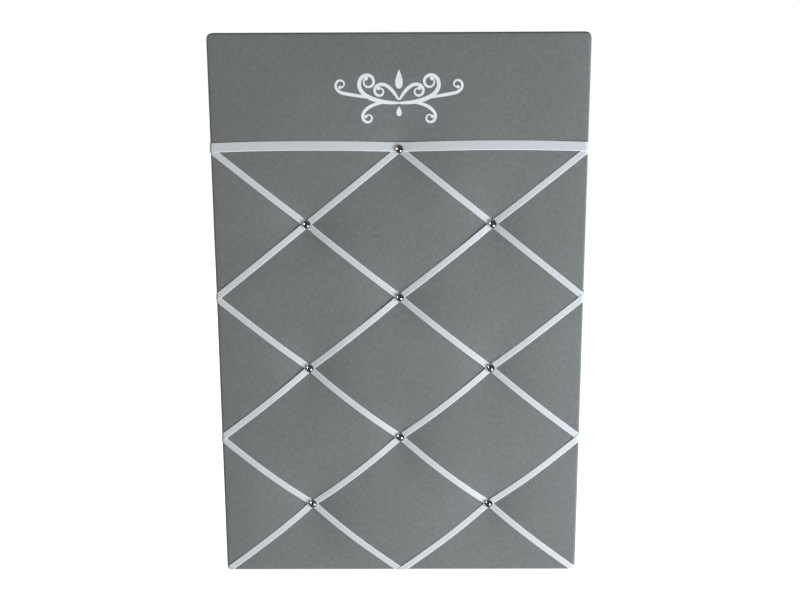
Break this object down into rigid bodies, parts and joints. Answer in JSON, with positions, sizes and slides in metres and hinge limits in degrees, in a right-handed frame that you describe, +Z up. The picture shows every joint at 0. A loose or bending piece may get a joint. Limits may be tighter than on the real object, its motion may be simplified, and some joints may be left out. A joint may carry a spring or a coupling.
{
  "type": "memo board",
  "caption": "Padded fabric memo board with a diagonal lattice of satin ribbons under domed nails, for tucking in notes and photos, hung on the wall by D-rings.",
  "frame": {"origin": "middle of the back panel's rear face", "axes": "+X to the right seen from the front, +Y from the front to the wall, +Z up as the board hangs"},
  "size_m": [0.4028, 0.0337, 0.6014],
  "materials": {
    "cover_linen": "matt grey linen weave",
    "wadding": "white polyester wadding",
    "fibreboard": "raw soft fibreboard",
    "hardboard": "brown hardboard",
    "ribbon_satin": "white satin ribbon",
    "nail_chrome": "mirror chrome",
    "staple_wire": "galvanised wire",
    "pin_steel": "bright steel",
    "hanger_zinc": "zinc plated"
  },
  "bodies": {
    "board": {"back_panel": "hardboard", "core_board": "fibreboard", "fabric_cover": "cover_linen", "hanger_screw_left": "hanger_zinc", "hanger_screw_right": "hanger_zinc", "hanger_strap_left": "hanger_zinc", "hanger_strap_right": "hanger_zinc", "nail_row1_middle": "nail_chrome", "nail_row2_left": "nail_chrome", "nail_row2_right": "nail_chrome", "nail_row3_middle": "nail_chrome", "nail_row4_left": "nail_chrome", "nail_row4_right": "nail_chrome", "nail_row5_middle": "nail_chrome", "nail_row6_left": "nail_chrome", "nail_row6_right": "nail_chrome", "pin_bottom_1": "pin_steel", "pin_bottom_3": "pin_steel", "pin_left_1": "pin_steel", "pin_left_2": "pin_steel", "pin_left_3": "pin_steel", "pin_right_1": "pin_steel", "pin_right_2": "pin_steel", "pin_right_3": "pin_steel", "pin_top_1": "pin_steel", "pin_top_2": "pin_steel", "pin_top_3": "pin_steel", "ribbon_falling_1": "ribbon_satin", "ribbon_falling_2": "ribbon_satin", "ribbon_falling_3": "ribbon_satin", "ribbon_falling_4": "ribbon_satin", "ribbon_rising_1": "ribbon_satin", "ribbon_rising_2": "ribbon_satin", "ribbon_rising_3": "ribbon_satin", "ribbon_rising_4": "ribbon_satin", "staple_ribbon_falling_1_end": "staple_wire", "staple_ribbon_falling_2_end": "staple_wire", "staple_ribbon_falling_2_start": "staple_wire", "staple_ribbon_falling_3_end": "staple_wire", "staple_ribbon_falling_3_start": "staple_wire", "staple_ribbon_falling_4_end": "staple_wire", "staple_ribbon_falling_4_start": "staple_wire", "staple_ribbon_rising_1_end": "staple_wire", "staple_ribbon_rising_2_end": "staple_wire", "staple_ribbon_rising_2_start": "staple_wire", "staple_ribbon_rising_3_end": "staple_wire", "staple_ribbon_rising_3_start": "staple_wire", "staple_ribbon_rising_4_end": "staple_wire", "staple_ribbon_rising_4_start": "staple_wire", "staple_top_ribbon_end": "staple_wire", "staple_top_ribbon_start": "staple_wire", "top_ribbon": "ribbon_satin", "wadding": "wadding"},
    "ring_left": {"d_ring_left": "hanger_zinc"},
    "ring_right": {"d_ring_right": "hanger_zinc"}
  },
  "joints": [
    {"name": "d_ring_left_swing", "type": "hinge", "parent": "board", "child": "ring_left", "pos_m": [-0.13, 0.0026, 0.2], "axis": [-1, 0, 0], "range_deg": [0, 180]},
    {"name": "d_ring_right_swing", "type": "hinge", "parent": "board", "child": "ring_right", "pos_m": [0.13, 0.0026, 0.2], "axis": [-1, 0, 0], "range_deg": [0, 180]}
  ]
}
